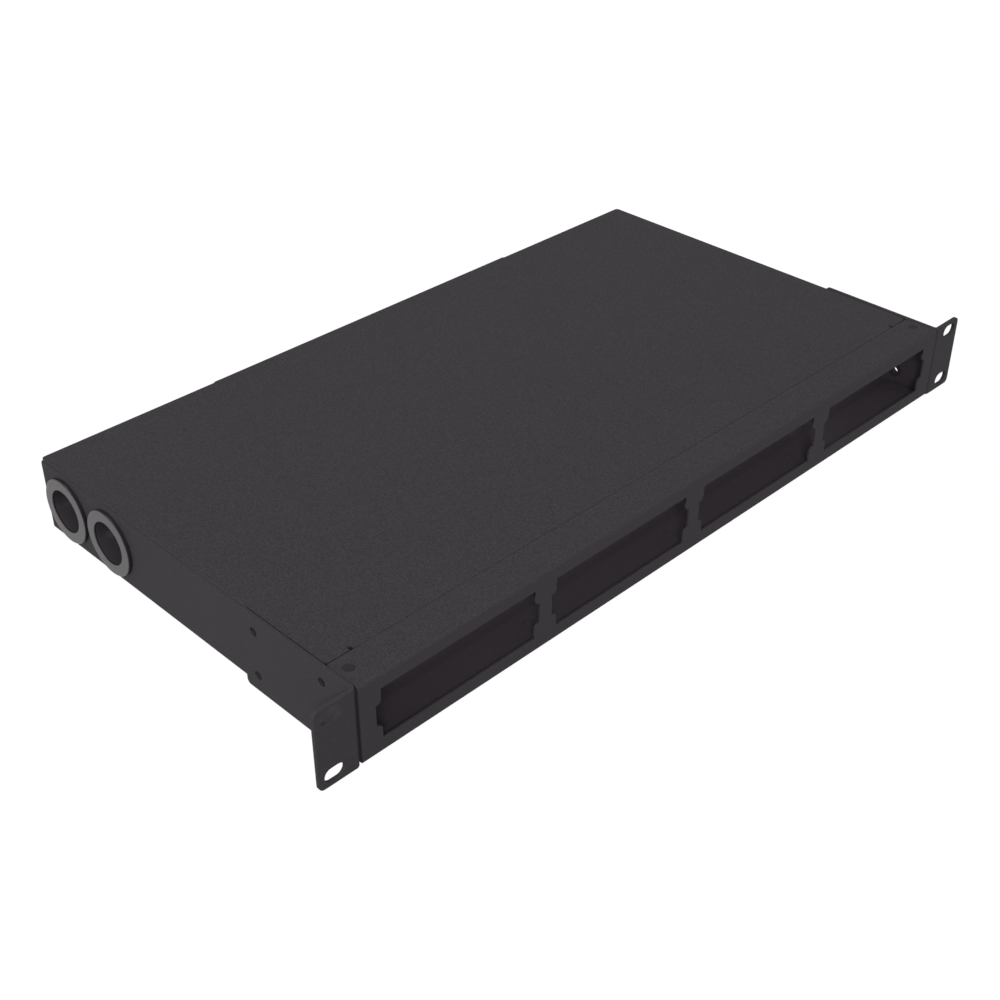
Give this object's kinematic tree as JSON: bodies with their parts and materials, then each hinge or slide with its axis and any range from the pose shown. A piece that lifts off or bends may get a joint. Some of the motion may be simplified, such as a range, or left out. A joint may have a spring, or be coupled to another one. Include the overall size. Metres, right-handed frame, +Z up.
{
  "type": "rack fibre distribution panel",
  "caption": "One-unit rack panel for fibre cassettes: bent steel tray with openings in its front frame, sliding cover, side brackets and cable entries in the left wall.",
  "frame": {"origin": "centre of the four rack slots, on the rear faces of the mounting ears, which rest on the rack's rails", "axes": "+X to the right seen from the front, +Y to the rear along the panel's depth, +Z up"},
  "size_m": [0.4826, 0.2485, 0.0434],
  "materials": {
    "powder_coated_steel": "satin, fine-textured powder coat",
    "moulded_bushing": "moulded, glossy",
    "zinc_plated_steel": "zinc plated",
    "black_oxide_steel": "black zinc",
    "spool_plastic": "moulded, fine matt"
  },
  "bodies": {
    "panel": {"base_tray": "powder_coated_steel", "rear_panel": "powder_coated_steel", "front_frame": "powder_coated_steel", "rack_bracket_left": "powder_coated_steel", "rack_bracket_right": "powder_coated_steel", "front_frame_rivets": "powder_coated_steel", "rear_panel_rivets": "powder_coated_steel", "bracket_nuts_left": "black_oxide_steel", "bracket_nuts_right": "black_oxide_steel", "cover_nuts": "zinc_plated_steel", "cable_bushing_front": "moulded_bushing", "cable_bushing_rear": "moulded_bushing", "bushing_nut_front": "moulded_bushing", "bushing_nut_rear": "moulded_bushing", "slack_spool_left": "spool_plastic", "slack_spool_right": "spool_plastic", "spool_screws": "zinc_plated_steel", "spool_standoffs": "zinc_plated_steel", "tie_bridge_front": "powder_coated_steel", "tie_bridge_rear": "powder_coated_steel", "tie_bridge_rivets": "powder_coated_steel", "earth_stud": "zinc_plated_steel", "earth_nut": "zinc_plated_steel", "earth_washer": "zinc_plated_steel"},
    "cover": {"top_cover": "powder_coated_steel", "cover_screws": "black_oxide_steel"}
  },
  "joints": [
    {"name": "cover_slide", "type": "slide", "parent": "panel", "child": "cover", "axis": [0, 1, 0], "range_m": [0, 0.2]}
  ]
}
